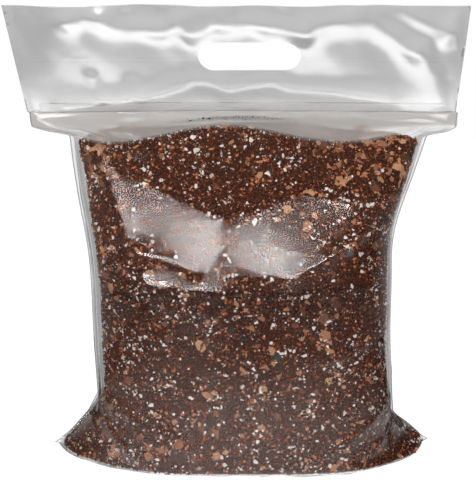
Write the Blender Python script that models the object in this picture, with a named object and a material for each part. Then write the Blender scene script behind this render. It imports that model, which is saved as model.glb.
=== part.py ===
"""Clear zip-top bag of potting compost, standing on its base, with a hand slot through its header.

Row frame: metres, +Z up, the front panel faces -Y, the origin is under the middle of the bag on the floor.
The film is one tube of clear film, welded along both side seams and across the bottom seal, and open at its
top edge. Two press-to-close strips are welded inside it, and the compost fills it up to just below them.
"""

import math

import bmesh
import bpy
from mathutils import Matrix, Vector, noise

# The flat bag
FLAT_WIDTH = 0.406
HEADER_LENGTH = 0.106
FILM = 0.0005
SEAM = 0.005
EDGE_STRIP = 0.009
TOUCH_GAP = 0.0003

# The header above the zip, which leans forwards and drifts a little to its left
HEADER_LEAN = math.radians(22.5)
HEADER_ASIDE = 0.002
HEADER_DRIFT = 0.005
HEADER_WAVE = 0.0030
MOUTH_GAP = 0.0012

# The hand slot, die-cut through both layers
SLOT_WIDTH = 0.094
SLOT_HEIGHT = 0.028
SLOT_ABOVE_ZIP = 0.057
SLOT_OFFSET = 0.0098
SLOT_ARC_STEPS = 8
CUTTER_REACH = 0.03

# The filled body
ZIP_HEIGHT = 0.352
SHOULDER_DROP = 0.023
SHOULDER_HALF = 0.170
WAIST_HEIGHT = 0.190
WAIST_HALF = 0.152
HEEL_HEIGHT = 0.055
HEEL_HALF = 0.156
HALF_DEPTH = 0.081
TOE_REACH = 0.072
EAR_SWING = 0.016
SWING_FROM = 0.7
EAR_HEIGHT = 0.004
RIGHT_FULLER = 1.0
FIN_SWELL = 0.0025
SOLE_DRAW = 0.10

# The main folds of the front, each as points (x, height) from left to right, how far it stands out,
# and how wide it is on its upper and its lower side
FOLDS = [
    ([(-0.117, 0.321), (-0.099, 0.304), (-0.077, 0.286), (-0.046, 0.272), (-0.011, 0.265)], 0.0045, 0.009, 0.028),
    ([(-0.011, 0.265), (0.010, 0.272), (0.032, 0.286), (0.050, 0.291), (0.094, 0.281)], 0.0040, 0.009, 0.022),
    ([(0.070, 0.226), (0.110, 0.248)], 0.0028, 0.008, 0.010),
    ([(-0.090, 0.207), (-0.020, 0.201)], 0.0030, 0.009, 0.012),
    ([(-0.160, 0.062), (-0.110, 0.026)], 0.0025, 0.008, 0.009),
    ([(-0.125, 0.085), (-0.085, 0.060), (-0.040, 0.018)], 0.0022, 0.008, 0.009),
    ([(0.110, 0.085), (0.138, 0.060), (0.152, 0.030)], 0.0025, 0.008, 0.009),
]

# The main creases of the header, in the same form, with rises above the zip for heights
HEADER_FOLDS = [
    ([(-0.150, 0.093), (-0.117, 0.090), (-0.068, 0.083)], 0.0022, 0.008, 0.010),
    ([(-0.042, 0.079), (-0.022, 0.090), (0.010, 0.092), (0.058, 0.080)], 0.0020, 0.008, 0.009),
    ([(0.062, 0.088), (0.094, 0.093), (0.140, 0.078), (0.160, 0.064)], 0.0026, 0.008, 0.011),
]

# The press-to-close zip
ZIP_WEB = 0.0005
ZIP_BAND = 0.0080
ZIP_BITE = 0.0015
ZIP_RIB_NECK = 0.0008
ZIP_RIB_HEAD = 0.0016
ZIP_HOOK = 0.0006
ZIP_END = 0.0125
ZIP_BOW = 0.010
ZIP_STATIONS = 24

# The compost
COMPOST_HEADROOM = 0.012
COMPOST_DROP = 0.026
COMPOST_LUMP = 0.0012
LUMP_SIZE = 0.012
LUMP_CONTRAST = 1.6
COMPOST_EDGE = 0.006
DOME_STEPS = (1.0, 0.4)
DOME_ROUNDNESS = 0.8
DOME_NARROWING = 0.05

# How finely each panel is divided across its width and down its length
ACROSS = 36
HEADER_ROWS = 10
BODY_ROWS = 20
SOLE_ROWS = 2

SHOULDER_HEIGHT = ZIP_HEIGHT - SHOULDER_DROP
FLAT_HALF = FLAT_WIDTH / 2
ZIP_GAP = 2 * (TOUCH_GAP + ZIP_WEB) + ZIP_BITE


def clear_scene():
    for old in list(bpy.data.objects):
        bpy.data.objects.remove(old)


def smooth(share):
    share = min(1.0, max(0.0, share))
    return share * share * (3 - 2 * share)


def body_keys():
    """The sections from the zip down: height, left and right half-width, half-depth, bluntness and tip.

    A higher bluntness makes a boxier section, and a higher tip brings it to a sharper point at each seam.
    """
    rise = SHOULDER_HEIGHT - WAIST_HEIGHT
    left_step = 0.5 * (FLAT_HALF + SHOULDER_HALF)
    return [
        (ZIP_HEIGHT, FLAT_HALF, FLAT_HALF, ZIP_GAP / 2 + FILM, 2.0, 0.50),
        (ZIP_HEIGHT - 0.35 * SHOULDER_DROP, FLAT_HALF, FLAT_HALF, 0.12 * HALF_DEPTH, 1.7, 0.59),
        (ZIP_HEIGHT - 0.65 * SHOULDER_DROP, FLAT_HALF - 0.001, FLAT_HALF, 0.22 * HALF_DEPTH, 1.6, 0.62),
        (ZIP_HEIGHT - 0.86 * SHOULDER_DROP, left_step, FLAT_HALF - 0.008, 0.29 * HALF_DEPTH, 1.8, 0.55),
        (SHOULDER_HEIGHT, SHOULDER_HALF - 0.003, SHOULDER_HALF + 0.006, 0.32 * HALF_DEPTH, 2.2, 0.49),
        (WAIST_HEIGHT + 0.86 * rise, SHOULDER_HALF - 0.004, SHOULDER_HALF + 0.001, 0.46 * HALF_DEPTH, 2.6, 0.42),
        (WAIST_HEIGHT + 0.68 * rise, SHOULDER_HALF - 0.006, SHOULDER_HALF - 0.006, 0.64 * HALF_DEPTH, 2.9, 0.37),
        (WAIST_HEIGHT + 0.48 * rise, WAIST_HALF + 0.009, WAIST_HALF + 0.003, 0.80 * HALF_DEPTH, 3.0, 0.34),
        (WAIST_HEIGHT + 0.24 * rise, WAIST_HALF + 0.004, WAIST_HALF - 0.004, 0.94 * HALF_DEPTH, 3.1, 0.33),
        (WAIST_HEIGHT, WAIST_HALF + 0.002, WAIST_HALF - 0.002, 0.99 * HALF_DEPTH, 3.0, 0.33),
        (0.5 * (WAIST_HEIGHT + HEEL_HEIGHT), WAIST_HALF + 0.003, WAIST_HALF, HALF_DEPTH, 3.0, 0.34),
        (HEEL_HEIGHT, HEEL_HALF - 0.002, HEEL_HALF + 0.002, 0.99 * HALF_DEPTH, 3.0, 0.34),
        (0.62 * HEEL_HEIGHT, HEEL_HALF + 0.009, HEEL_HALF + 0.004, HALF_DEPTH, 3.0, 0.42),
        (0.30 * HEEL_HEIGHT, FLAT_HALF - 0.021, FLAT_HALF - 0.030, 0.99 * HALF_DEPTH, 3.0, 0.50),
        (0.15 * HEEL_HEIGHT, FLAT_HALF - 0.010, FLAT_HALF - 0.006, 0.98 * HALF_DEPTH, 3.2, 0.62),
        (EAR_HEIGHT, FLAT_HALF - 0.003, FLAT_HALF - 0.012, 0.96 * HALF_DEPTH, 3.4, 0.70),
        (0.0, FLAT_HALF - 0.020, FLAT_HALF - 0.028, TOE_REACH, 3.4, 0.70),
    ]


def body_levels():
    """Heights of the rings from just under the zip to the floor: each key, and even steps down the long wall."""
    keys = body_keys()
    wall_top, wall_foot = keys[6][0], keys[11][0]
    step = (wall_top - wall_foot) / BODY_ROWS
    wall = [wall_top - step * i for i in range(BODY_ROWS + 1)]
    return [k[0] for k in keys[1:6]] + wall + [k[0] for k in keys[12:]]


def section_values(height):
    """The section's values at a height, between those of the two keys around it."""
    keys = body_keys()
    for above, below in zip(keys, keys[1:]):
        if height >= below[0]:
            share = (above[0] - height) / (above[0] - below[0])
            return [a + (b - a) * share for a, b in zip(above[1:], below[1:])]
    return list(keys[-1][1:])


def half_thickness(x, left, right, depth, bluntness, tip):
    """How far the panel stands from the middle plane at x, over a fin of two layers at each side seam."""
    half = left if x < 0 else right
    core = half - EDGE_STRIP * 0.5
    share = min(1.0, abs(x) / core)
    power = bluntness + (RIGHT_FULLER if x > 0 else 0.0)
    belly = depth * (1 - share**power) ** tip
    fin = (FILM + FIN_SWELL) * smooth((half - abs(x)) / EDGE_STRIP)
    return max(belly, min(fin, depth))


def panel_section(height):
    """Points (x, distance from the middle plane) from the left seam to the right, evenly spaced along the film."""
    left, right, depth, bluntness, tip = section_values(height)
    fine = 400
    low, high = -left + EDGE_STRIP, right - EDGE_STRIP
    samples = [low + (high - low) * 0.5 * (1 - math.cos(math.pi * i / fine)) for i in range(fine + 1)]
    points = [(x, half_thickness(x, left, right, depth, bluntness, tip)) for x in samples]
    run = [0.0]
    for a, b in zip(points, points[1:]):
        run.append(run[-1] + math.hypot(b[0] - a[0], b[1] - a[1]))
    inner_steps = ACROSS - 2
    picked, at = [], 0
    for i in range(inner_steps + 1):
        wanted = run[-1] * i / inner_steps
        while at < fine - 1 and run[at + 1] < wanted:
            at += 1
        share = (wanted - run[at]) / max(run[at + 1] - run[at], 1e-12)
        a, b = points[at], points[at + 1]
        picked.append((a[0] + (b[0] - a[0]) * share, a[1] + (b[1] - a[1]) * share))
    return [(-left, 0.0), *picked, (right, 0.0)]


def zip_line(x):
    """How far back the zip bows at x, which is most at its middle."""
    return ZIP_BOW * (1 - (x / FLAT_HALF) ** 2)


def middle_line(x, height):
    """Where the middle between the panels lies: bowed back below the zip, and forwards at the bottom ears."""
    bow = zip_line(x) * smooth((height - WAIST_HEIGHT) / (ZIP_HEIGHT - WAIST_HEIGHT))
    swing = EAR_SWING * smooth((abs(x) / FLAT_HALF - SWING_FROM) / (1 - SWING_FROM))
    return bow - swing * smooth((HEEL_HEIGHT - height) / HEEL_HEIGHT)


def crease_stand(x, height, folds):
    """How far the given folds stand out at a point of the film."""
    stand_out = 0.0
    for line, stand, above, below in folds:
        ridge = 0.0
        for start, end in zip(line, line[1:]):
            run = Vector(end) - Vector(start)
            away = Vector((x, height)) - Vector(start)
            away -= run * min(1.0, max(0.0, away.dot(run) / run.length_squared))
            upper = run.x * away.y - run.y * away.x > 0
            width = above if upper else below
            ridge = max(ridge, math.exp(-away.length_squared / width**2))
        stand_out += stand * ridge
    return stand_out


def body_ring(height, folded):
    """One closed ring of the film's outer face: the front panel left to right, then the back right to left."""
    front, back = [], []
    for i, (x, out) in enumerate(panel_section(height)):
        middle = middle_line(x, height)
        stands = folded and out > FILM * 2
        ridge = crease_stand(x, height, FOLDS) * smooth(height / EAR_HEIGHT) if stands else 0.0
        front.append(Vector((x, middle - out - ridge, height)))
        if 0 < i < ACROSS:
            back.append(Vector((x, middle + out, height)))
    return front + back[::-1]


def header_wave(x, rise):
    """The loose ripple and the creases of the header. The ripple grows towards its free edge."""
    grow = smooth(rise / HEADER_LENGTH)
    ripple = 0.55 * math.sin(x / 0.031 + 0.4) + 0.45 * math.sin(x / 0.0167 + 2.0 + rise / 0.05)
    return HEADER_WAVE * grow * ripple + crease_stand(x, rise, HEADER_FOLDS)


def header_point(x, rise, out):
    """A point of the header: x across, rise up from the zip, and out towards the front of its own plane."""
    ahead = out + header_wave(x, rise)
    drift = -HEADER_ASIDE - HEADER_DRIFT * rise / HEADER_LENGTH
    y = zip_line(x) * (1 - 0.5 * rise / HEADER_LENGTH) - rise * math.sin(HEADER_LEAN) - ahead * math.cos(HEADER_LEAN)
    z = ZIP_HEIGHT + rise * math.cos(HEADER_LEAN) - ahead * math.sin(HEADER_LEAN)
    return Vector((x + drift, y, z))


def header_xs():
    low = FLAT_HALF - EDGE_STRIP
    steps = ACROSS - 2
    return [-FLAT_HALF] + [-low + 2 * low * i / steps for i in range(steps + 1)] + [FLAT_HALF]


def header_ring(rise):
    """One ring of the header: two layers close together, joined at the side seams."""
    gap = ZIP_GAP / 2 + (MOUTH_GAP - ZIP_GAP) / 2 * smooth((rise - ZIP_BAND * 0.6) / (HEADER_LENGTH * 0.3))
    front, back = [], []
    for i, x in enumerate(header_xs()):
        seam = i in (0, ACROSS)
        front.append(header_point(x, rise, 0.0 if seam else gap + FILM))
        if not seam:
            back.append(header_point(x, rise, -gap - FILM))
    return front + back[::-1]


def sole_ring(foot, share):
    """A ring of the flat underside, drawn in from the foot ring towards the bottom seal."""
    ring = []
    for point in foot:
        middle = middle_line(point.x, 0.0)
        ring.append(Vector((point.x * (1 - SOLE_DRAW * share), middle + (point.y - middle) * (1 - share), 0.0)))
    return ring


def film_rings(folded):
    """Rings of the film's outer face from its top edge to the bottom seal, with or without its main folds."""
    rises = [HEADER_LENGTH * (1 - i / HEADER_ROWS) for i in range(HEADER_ROWS)]
    rises += [ZIP_BAND * 0.75, 0.0]
    rings = [header_ring(rise) for rise in rises]
    rings += [body_ring(height, folded) for height in body_levels()]
    foot = rings[-1]
    rings += [sole_ring(foot, (i + 1) / (SOLE_ROWS + 1)) for i in range(SOLE_ROWS)]
    rings.append(sole_ring(foot, 1.0))
    return rings


def ring_normals(rings):
    """The outward direction at each ring point, lengthened at bends so that an offset keeps its thickness."""
    mesh = bmesh.new()
    lines = add_tube(mesh, rings, flip=False, guide=rings)
    mesh.normal_update()
    normals = [[vert.normal * vert.calc_shell_factor() for vert in line] for line in lines]
    mesh.free()
    return normals


def towards_middle(ring, k, reach):
    """A seam point moved in along the film, towards the middle of its two neighbours."""
    count = 2 * ACROSS
    inner = (ring[(k + 1) % count] + ring[(k - 1) % count]) / 2
    step = inner - ring[k]
    return ring[k] + step.normalized() * min(reach, 0.9 * step.length)


def inset_rings(rings, normals, depth, seam_reach):
    """The rings moved in by depth. The two seam points move in along the film by seam_reach instead."""
    moved = []
    for ring, normal in zip(rings, normals):
        line = [point - normal[k] * depth for k, point in enumerate(ring)]
        for k in (0, ACROSS):
            line[k] = towards_middle(line, k, seam_reach)
        moved.append(line)
    return moved


def add_tube(mesh, rings, flip, guide):
    """Adds triangles between successive rings, and returns the rings' vertices.

    The last ring's front and back points are one line of shared vertices. Each quad is split along the shorter
    diagonal of the guide rings, so the film's two faces are split alike and stay parallel.
    """
    count = len(rings[0])
    half = count // 2
    lines = []
    for r, ring in enumerate(rings):
        if r == len(rings) - 1:
            shared = [mesh.verts.new(ring[k]) for k in range(half + 1)]
            lines.append(shared + [shared[count - k] for k in range(half + 1, count)])
        else:
            lines.append([mesh.verts.new(point) for point in ring])
    for r, (upper, lower) in enumerate(zip(lines, lines[1:])):
        for k in range(count):
            after = (k + 1) % count
            corners = [lower[k], lower[after], upper[after], upper[k]]
            rising = (guide[r][after] - guide[r + 1][k]).length
            falling = (guide[r][k] - guide[r + 1][after]).length
            if falling < rising:
                corners = corners[1:] + corners[:1]
            if flip:
                corners = [corners[0], corners[3], corners[2], corners[1]]
            mesh.faces.new(corners[:3])
            mesh.faces.new([corners[0], corners[2], corners[3]])
    return lines


def material(name, colour, roughness, alpha=1.0, transmission=0.0):
    made = bpy.data.materials.new(name)
    made.use_nodes = True
    shader = made.node_tree.nodes["Principled BSDF"]
    shader.inputs["Base Color"].default_value = (*colour, 1.0)
    shader.inputs["Roughness"].default_value = roughness
    shader.inputs["Alpha"].default_value = alpha
    shader.inputs["Transmission Weight"].default_value = transmission
    made.diffuse_color = (*colour, alpha)
    return made


def add_object(name, mesh, look, smooth_angle=None):
    """A mesh object made from a bmesh, with its faces turned out."""
    bmesh.ops.recalc_face_normals(mesh, faces=mesh.faces)
    data = bpy.data.meshes.new(name)
    mesh.to_mesh(data)
    mesh.free()
    data.materials.append(look)
    if smooth_angle is not None:
        data.shade_smooth()
        data.set_sharp_from_angle(angle=smooth_angle)
    made = bpy.data.objects.new(name, data)
    bpy.context.collection.objects.link(made)
    return made


def slot_cutter():
    """A prism with round ends that passes through both layers of the header, square to it."""
    radius = SLOT_HEIGHT / 2
    straight = SLOT_WIDTH / 2 - radius
    outline = []
    for side in (1, -1):
        for i in range(SLOT_ARC_STEPS + 1):
            turn = math.pi * i / SLOT_ARC_STEPS - math.pi / 2
            along = side * (straight + radius * math.cos(turn))
            outline.append((along, side * radius * math.sin(turn)))
    normal = Vector((0, -math.cos(HEADER_LEAN), -math.sin(HEADER_LEAN)))
    centre = header_point(SLOT_OFFSET, SLOT_ABOVE_ZIP, 0.0)
    up = Vector((0, -math.sin(HEADER_LEAN), math.cos(HEADER_LEAN)))
    mesh = bmesh.new()
    ends = []
    for away in (CUTTER_REACH, -CUTTER_REACH):
        ends.append([mesh.verts.new(centre + Vector((a, 0, 0)) + up * b + normal * away) for a, b in outline])
    near, far = ends
    mesh.faces.new(near)
    mesh.faces.new(far[::-1])
    for i, _ in enumerate(outline):
        after = (i + 1) % len(outline)
        mesh.faces.new([near[i], far[i], far[after], near[after]])
    cutter = add_object("slot_cutter", mesh, material("cutter", (1, 0, 0), 0.5))
    cutter.hide_render = True
    cutter.display_type = "WIRE"
    return cutter


def make_film_bag(rings, normals):
    """The bag's film: its outer and inner faces, joined round the open top edge, with the slot cut through."""
    mesh = bmesh.new()
    outer = add_tube(mesh, rings, flip=False, guide=rings)[0]
    inner = add_tube(mesh, inset_rings(rings, normals, FILM, SEAM), flip=True, guide=rings)[0]
    count = len(outer)
    for k in range(count):
        after = (k + 1) % count
        mesh.faces.new([outer[k], inner[k], inner[after], outer[after]])
    look = material("clear_film", (0.86, 0.87, 0.86), 0.12, alpha=0.35, transmission=0.6)
    bag = add_object("film_bag", mesh, look, smooth_angle=math.radians(40))
    cut = bag.modifiers.new("hand_slot", "BOOLEAN")
    cut.operation = "DIFFERENCE"
    cut.solver = "EXACT"
    cut.object = slot_cutter()
    return bag


def lump(point):
    """How deep the compost's granular face lies at a point, from 0 to 1."""
    return 0.5 + 0.5 * max(-1.0, min(1.0, LUMP_CONTRAST * noise.noise(point / LUMP_SIZE)))


def compost_point(ring, normal, k, height_gap):
    """The film point that compost column k lies under, and its outward direction.

    Beside a seam, where the panels come close, the column slides along the film until it has room.
    """
    count = 2 * ACROSS
    step = 1 if k in (1, ACROSS + 1) else -1
    beside_seam = k in (1, ACROSS - 1, ACROSS + 1, count - 1)
    if not beside_seam:
        return ring[k], normal[k]
    share = 0.0
    room = abs(ring[k].y - ring[count - k].y) / 2
    room_next = abs(ring[k + step].y - ring[count - k - step].y) / 2
    if room < height_gap:
        share = min(1.0, (height_gap - room) / max(room_next - room, 1e-9))
    return ring[k].lerp(ring[k + step], share), normal[k].lerp(normal[k + step], share)


def compost_wall(rings, normals):
    """Rings of the compost's wall and underside, inside the film by the touch gap and its own lumps."""
    first = HEADER_ROWS + 2 + 4
    foot = len(rings) - SOLE_ROWS - 2
    rows = []
    for r in range(first, len(rings)):
        line = []
        for k in range(2 * ACROSS):
            if k in (0, ACROSS):
                continue
            spot, outward = compost_point(rings[min(r, foot)], normals[min(r, foot)], k, COMPOST_EDGE)
            if r > foot:
                middle = middle_line(spot.x, 0.0)
                drawn = (r - foot) / (SOLE_ROWS + 1)
                spot = Vector((spot.x * (1 - SOLE_DRAW * drawn), middle + (spot.y - middle) * (1 - drawn), 0.0))
                outward = Vector((0, 0, -1))
            sunk = 0.0 if r >= foot else COMPOST_LUMP * lump(spot)
            line.append(spot - outward * (FILM + TOUCH_GAP + sunk))
        rows.append(line)
    return rows


def compost_dome(shoulder):
    """Rings that close the compost over its top, which is a low dome with its ridge under the zip."""
    half = len(shoulder) // 2
    rows = []
    for drawn_in in DOME_STEPS:
        line = []
        for point in shoulder:
            middle = middle_line(point.x, point.z)
            side = abs(point.x) / SHOULDER_HALF
            crown = ZIP_HEIGHT - COMPOST_HEADROOM - COMPOST_DROP * side**3
            height = point.z + (crown - point.z) * drawn_in * (1 + DOME_ROUNDNESS * (1 - drawn_in))
            y = middle + (point.y - middle) * (1 - drawn_in)
            line.append(Vector((point.x * (1 - DOME_NARROWING * drawn_in), y, height)))
        rows.append(line)
    ridge = rows[0]
    for k in range(half):
        ridge[len(ridge) - 1 - k] = ridge[k].copy()
    return rows


def make_compost(rings, normals):
    """The compost as one solid: its wall, its domed top and its flat underside."""
    wall = compost_wall(rings, normals)
    lines = compost_dome(wall[0]) + wall
    mesh = bmesh.new()
    verts = [[mesh.verts.new(point) for point in line] for line in lines]
    for upper, lower in zip(verts, verts[1:]):
        count = len(upper)
        for k in range(count):
            after = (k + 1) % count
            mesh.faces.new([upper[k], upper[after], lower[after], lower[k]])
    bmesh.ops.remove_doubles(mesh, verts=mesh.verts, dist=1e-6)
    look = material("compost", (0.085, 0.040, 0.022), 0.95)
    return add_object("compost_fill", mesh, look, smooth_angle=math.radians(50))


def zip_profile_rib():
    """Outline of the front strip, as (up, out) pairs: a web on the film, a neck and a wider head."""
    web_face = ZIP_GAP / 2 - TOUCH_GAP - ZIP_WEB
    head_face = web_face - (ZIP_BITE - TOUCH_GAP)
    neck_face = head_face + 0.45 * (ZIP_BITE - TOUCH_GAP)
    half_band, neck, head = ZIP_BAND / 2, ZIP_RIB_NECK / 2, ZIP_RIB_HEAD / 2
    return [
        (-half_band, web_face + ZIP_WEB),
        (half_band, web_face + ZIP_WEB),
        (half_band, web_face),
        (neck, web_face),
        (neck, neck_face),
        (head, neck_face),
        (neck * 0.8, head_face),
        (-neck * 0.8, head_face),
        (-head, neck_face),
        (-neck, neck_face),
        (-neck, web_face),
        (-half_band, web_face),
    ]


def zip_profile_groove():
    """Outline of the back strip: a web on the film and two jaws that close round the rib's head."""
    web_face = -(ZIP_GAP / 2 - TOUCH_GAP - ZIP_WEB)
    jaw_face = web_face + (ZIP_BITE - TOUCH_GAP)
    half_band = ZIP_BAND / 2
    inside = ZIP_RIB_HEAD / 2 + TOUCH_GAP
    outside = inside + ZIP_HOOK
    return [
        (half_band, web_face - ZIP_WEB),
        (-half_band, web_face - ZIP_WEB),
        (-half_band, web_face),
        (-outside, web_face),
        (-outside, jaw_face),
        (-inside, jaw_face),
        (-inside, web_face),
        (inside, web_face),
        (inside, jaw_face),
        (outside, jaw_face),
        (outside, web_face),
        (half_band, web_face),
    ]


def make_zip_strip(name, outline, look):
    """A strip of constant profile that follows the bow of the zip across the bag."""
    span = FLAT_HALF - ZIP_END
    mesh = bmesh.new()
    lines = []
    for i in range(ZIP_STATIONS + 1):
        x = -span + 2 * span * i / ZIP_STATIONS
        line = []
        for rise, out in outline:
            line.append(mesh.verts.new(strip_point(x, rise, out)))
        lines.append(line)
    for here, there in zip(lines, lines[1:]):
        count = len(here)
        for k in range(count):
            after = (k + 1) % count
            mesh.faces.new([here[k], here[after], there[after], there[k]])
    mesh.faces.new(lines[0][::-1])
    mesh.faces.new(lines[-1])
    return add_object(name, mesh, look)


def strip_point(x, rise, out):
    """A point of a zip strip, which lies upright in the lower header, on the film's own line across the bag."""
    xs = header_xs()
    for a, b in zip(xs, xs[1:]):
        if a <= x <= b:
            share = (x - a) / (b - a)
            level = ZIP_BAND * 0.5 + rise
            near = header_point(a, level, out)
            far = header_point(b, level, out)
            return near + (far - near) * share
    raise ValueError("a zip strip reaches past the side seam")


def centre_on_floor(objects):
    """Moves everything so that the bag's box is centred on the origin and stands on the floor."""
    corners = [point.co for made in objects for point in made.data.vertices]
    low = [min(c[axis] for c in corners) for axis in range(3)]
    high = [max(c[axis] for c in corners) for axis in range(3)]
    shift = Vector((-(low[0] + high[0]) / 2, -(low[1] + high[1]) / 2, -low[2]))
    for made in bpy.data.objects:
        if made.type == "MESH":
            made.data.transform(Matrix.Translation(shift))


def main():
    clear_scene()
    rings = film_rings(folded=True)
    unfolded = film_rings(folded=False)
    strip_look = material("zip_plastic", (0.80, 0.82, 0.82), 0.25, alpha=0.6)
    parts = [
        make_film_bag(rings, ring_normals(rings)),
        make_compost(unfolded, ring_normals(unfolded)),
        make_zip_strip("zip_rib_strip", zip_profile_rib(), strip_look),
        make_zip_strip("zip_groove_strip", zip_profile_groove(), strip_look),
    ]
    centre_on_floor(parts)


main()
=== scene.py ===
"""Looks for the clear zip-top compost bag: crinkled film, a granular fill, a pale floor and soft lamps."""

import math

import bmesh
import bpy
import numpy as np
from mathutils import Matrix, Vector, noise


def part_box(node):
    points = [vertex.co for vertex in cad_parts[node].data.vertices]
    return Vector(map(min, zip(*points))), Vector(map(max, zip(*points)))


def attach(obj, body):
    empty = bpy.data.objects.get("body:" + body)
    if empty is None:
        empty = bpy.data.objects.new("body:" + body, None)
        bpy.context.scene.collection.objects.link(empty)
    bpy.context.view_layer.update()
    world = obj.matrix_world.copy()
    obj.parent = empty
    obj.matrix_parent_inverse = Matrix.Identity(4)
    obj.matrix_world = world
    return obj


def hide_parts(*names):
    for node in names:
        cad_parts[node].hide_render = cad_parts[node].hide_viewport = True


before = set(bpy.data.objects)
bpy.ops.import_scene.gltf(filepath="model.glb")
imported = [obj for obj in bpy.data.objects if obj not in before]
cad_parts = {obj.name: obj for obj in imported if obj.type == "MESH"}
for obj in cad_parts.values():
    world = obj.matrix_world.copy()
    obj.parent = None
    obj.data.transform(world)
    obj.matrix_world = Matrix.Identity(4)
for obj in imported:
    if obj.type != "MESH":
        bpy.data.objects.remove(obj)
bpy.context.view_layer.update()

# The flat bag, in metres
FLAT_WIDTH = 0.406
HEADER_LENGTH = 0.106
EDGE_STRIP = 0.009

# The header above the zip
HEADER_LEAN = math.radians(22.5)
HEADER_ASIDE = 0.002
HEADER_DRIFT = 0.005
SLOT_WIDTH = 0.094
SLOT_HEIGHT = 0.028
SLOT_ABOVE_ZIP = 0.057
SLOT_OFFSET = 0.0098
SLOT_STRAIGHT = SLOT_WIDTH / 2 - SLOT_HEIGHT / 2
HEADER_GAP = 0.0006
HEADER_RIPPLE = 0.0030

# The filled body
ZIP_HEIGHT = 0.352
SHOULDER_DROP = 0.023
SHOULDER_HALF = 0.170
WAIST_HEIGHT = 0.190
WAIST_HALF = 0.152
HEEL_HEIGHT = 0.055
HEEL_HALF = 0.156
HALF_DEPTH = 0.081
TOE_REACH = 0.072
EAR_SWING = 0.016
EAR_HEIGHT = 0.004
RIGHT_FULLER = 1.0
EASING = 0.018
EASING_SAMPLES = 25
KEY_STEPS = 353
ZIP_BOW = 0.010
ZIP_HALF_GAP = 0.0016
FIN_HALF = 0.0028
SOLE_TAPER = 0.10

SHOULDER_HEIGHT = ZIP_HEIGHT - SHOULDER_DROP
EASED_FROM = 1.2 * HEEL_HEIGHT
EASED_TO = SHOULDER_HEIGHT - 0.03
FLAT_HALF = FLAT_WIDTH / 2

# How the film is relaxed: (columns across a panel, rounds) from coarse to fine
RELAX_LEVELS = [(29, 160), (58, 160), (116, 90), (174, 50)]
FILM_CLEAR = 0.0022
LAYER_CLEAR = 0.0005
SEAM_HOLD = 0.45
SEAM_BAND = 0.012
ZIP_BAND = 0.010
SLACK = 0.15
JITTER = 0.0015
BODY_SHARPNESS = 1.0
RELAX_SPEED = 2.6
FILM_OFF_FLOOR = 0.0004

# Folds that the front keeps over the compost: points (x, z) along each, how far it stands out,
# and how wide it is on its upper and its lower side
FOLDS = [
    ([(-0.122, 0.328), (-0.102, 0.309), (-0.082, 0.292), (-0.052, 0.280), (-0.020, 0.270)],
     0.0085, 0.022, 0.045),
    ([(-0.020, 0.268), (0.004, 0.270), (0.021, 0.276), (0.051, 0.287), (0.098, 0.279)], 0.0090, 0.020, 0.026),
    ([(-0.024, 0.262), (-0.020, 0.240), (-0.032, 0.222), (-0.036, 0.205)], 0.0036, 0.013, 0.030),
    ([(-0.134, 0.318), (-0.120, 0.285), (-0.108, 0.250), (-0.088, 0.215)], 0.0038, 0.034, 0.010),
    ([(0.042, 0.214), (0.072, 0.230), (0.104, 0.248)], 0.0105, 0.028, 0.010),
    ([(-0.098, 0.236), (-0.070, 0.232), (-0.042, 0.222)], 0.0055, 0.006, 0.009),
    ([(-0.090, 0.207), (-0.020, 0.201)], 0.0045, 0.007, 0.014),
    ([(-0.085, 0.190), (-0.030, 0.180)], 0.0030, 0.006, 0.008),
    ([(0.078, 0.148), (0.106, 0.128)], 0.0025, 0.006, 0.008),
    ([(0.118, 0.283), (0.150, 0.272)], 0.0035, 0.006, 0.009),
    ([(-0.125, 0.085), (-0.085, 0.060), (-0.040, 0.018)], 0.0030, 0.006, 0.010),
    ([(-0.160, 0.062), (-0.110, 0.026)], 0.0035, 0.006, 0.010),
    ([(0.110, 0.085), (0.138, 0.060), (0.142, 0.030)], 0.0035, 0.006, 0.010),
    ([(0.118, 0.012), (0.152, 0.045)], 0.0030, 0.006, 0.009),
]

# Fine puckers of the front film, in the same form
PUCKER_SHARPNESS = 1.5
PUCKERS = [
    ([(-0.132, 0.072), (-0.122, 0.050), (-0.102, 0.030), (-0.079, 0.018)], 0.0020, 0.005, 0.007),
    ([(-0.122, 0.074), (-0.105, 0.050), (-0.086, 0.040), (-0.061, 0.038)], 0.0022, 0.005, 0.008),
    ([(-0.143, 0.061), (-0.129, 0.040), (-0.113, 0.025), (-0.095, 0.015)], 0.0018, 0.004, 0.006),
    ([(-0.112, 0.068), (-0.094, 0.054), (-0.072, 0.050)], 0.0016, 0.004, 0.006),
    ([(0.087, 0.030), (0.105, 0.042), (0.140, 0.069), (0.158, 0.085)], 0.0020, 0.005, 0.007),
    ([(0.080, 0.130), (0.108, 0.141), (0.139, 0.148)], 0.0018, 0.005, 0.006),
    ([(0.110, 0.146), (0.128, 0.155), (0.143, 0.159)], 0.0018, 0.004, 0.006),
    ([(-0.145, 0.214), (-0.118, 0.212), (-0.090, 0.208)], 0.0018, 0.004, 0.006),
    ([(-0.146, 0.226), (-0.122, 0.221)], 0.0016, 0.004, 0.005),
    ([(-0.140, 0.199), (-0.112, 0.196), (-0.070, 0.198)], 0.0018, 0.004, 0.006),
    ([(0.079, 0.234), (0.092, 0.242), (0.105, 0.248)], 0.0018, 0.005, 0.006),
    ([(0.128, 0.287), (0.142, 0.281), (0.155, 0.278)], 0.0018, 0.005, 0.006),
    ([(-0.190, 0.3430), (-0.100, 0.3470), (0.0, 0.3485), (0.100, 0.3470), (0.190, 0.3430)],
     0.0010, 0.003, 0.004),
]

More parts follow.
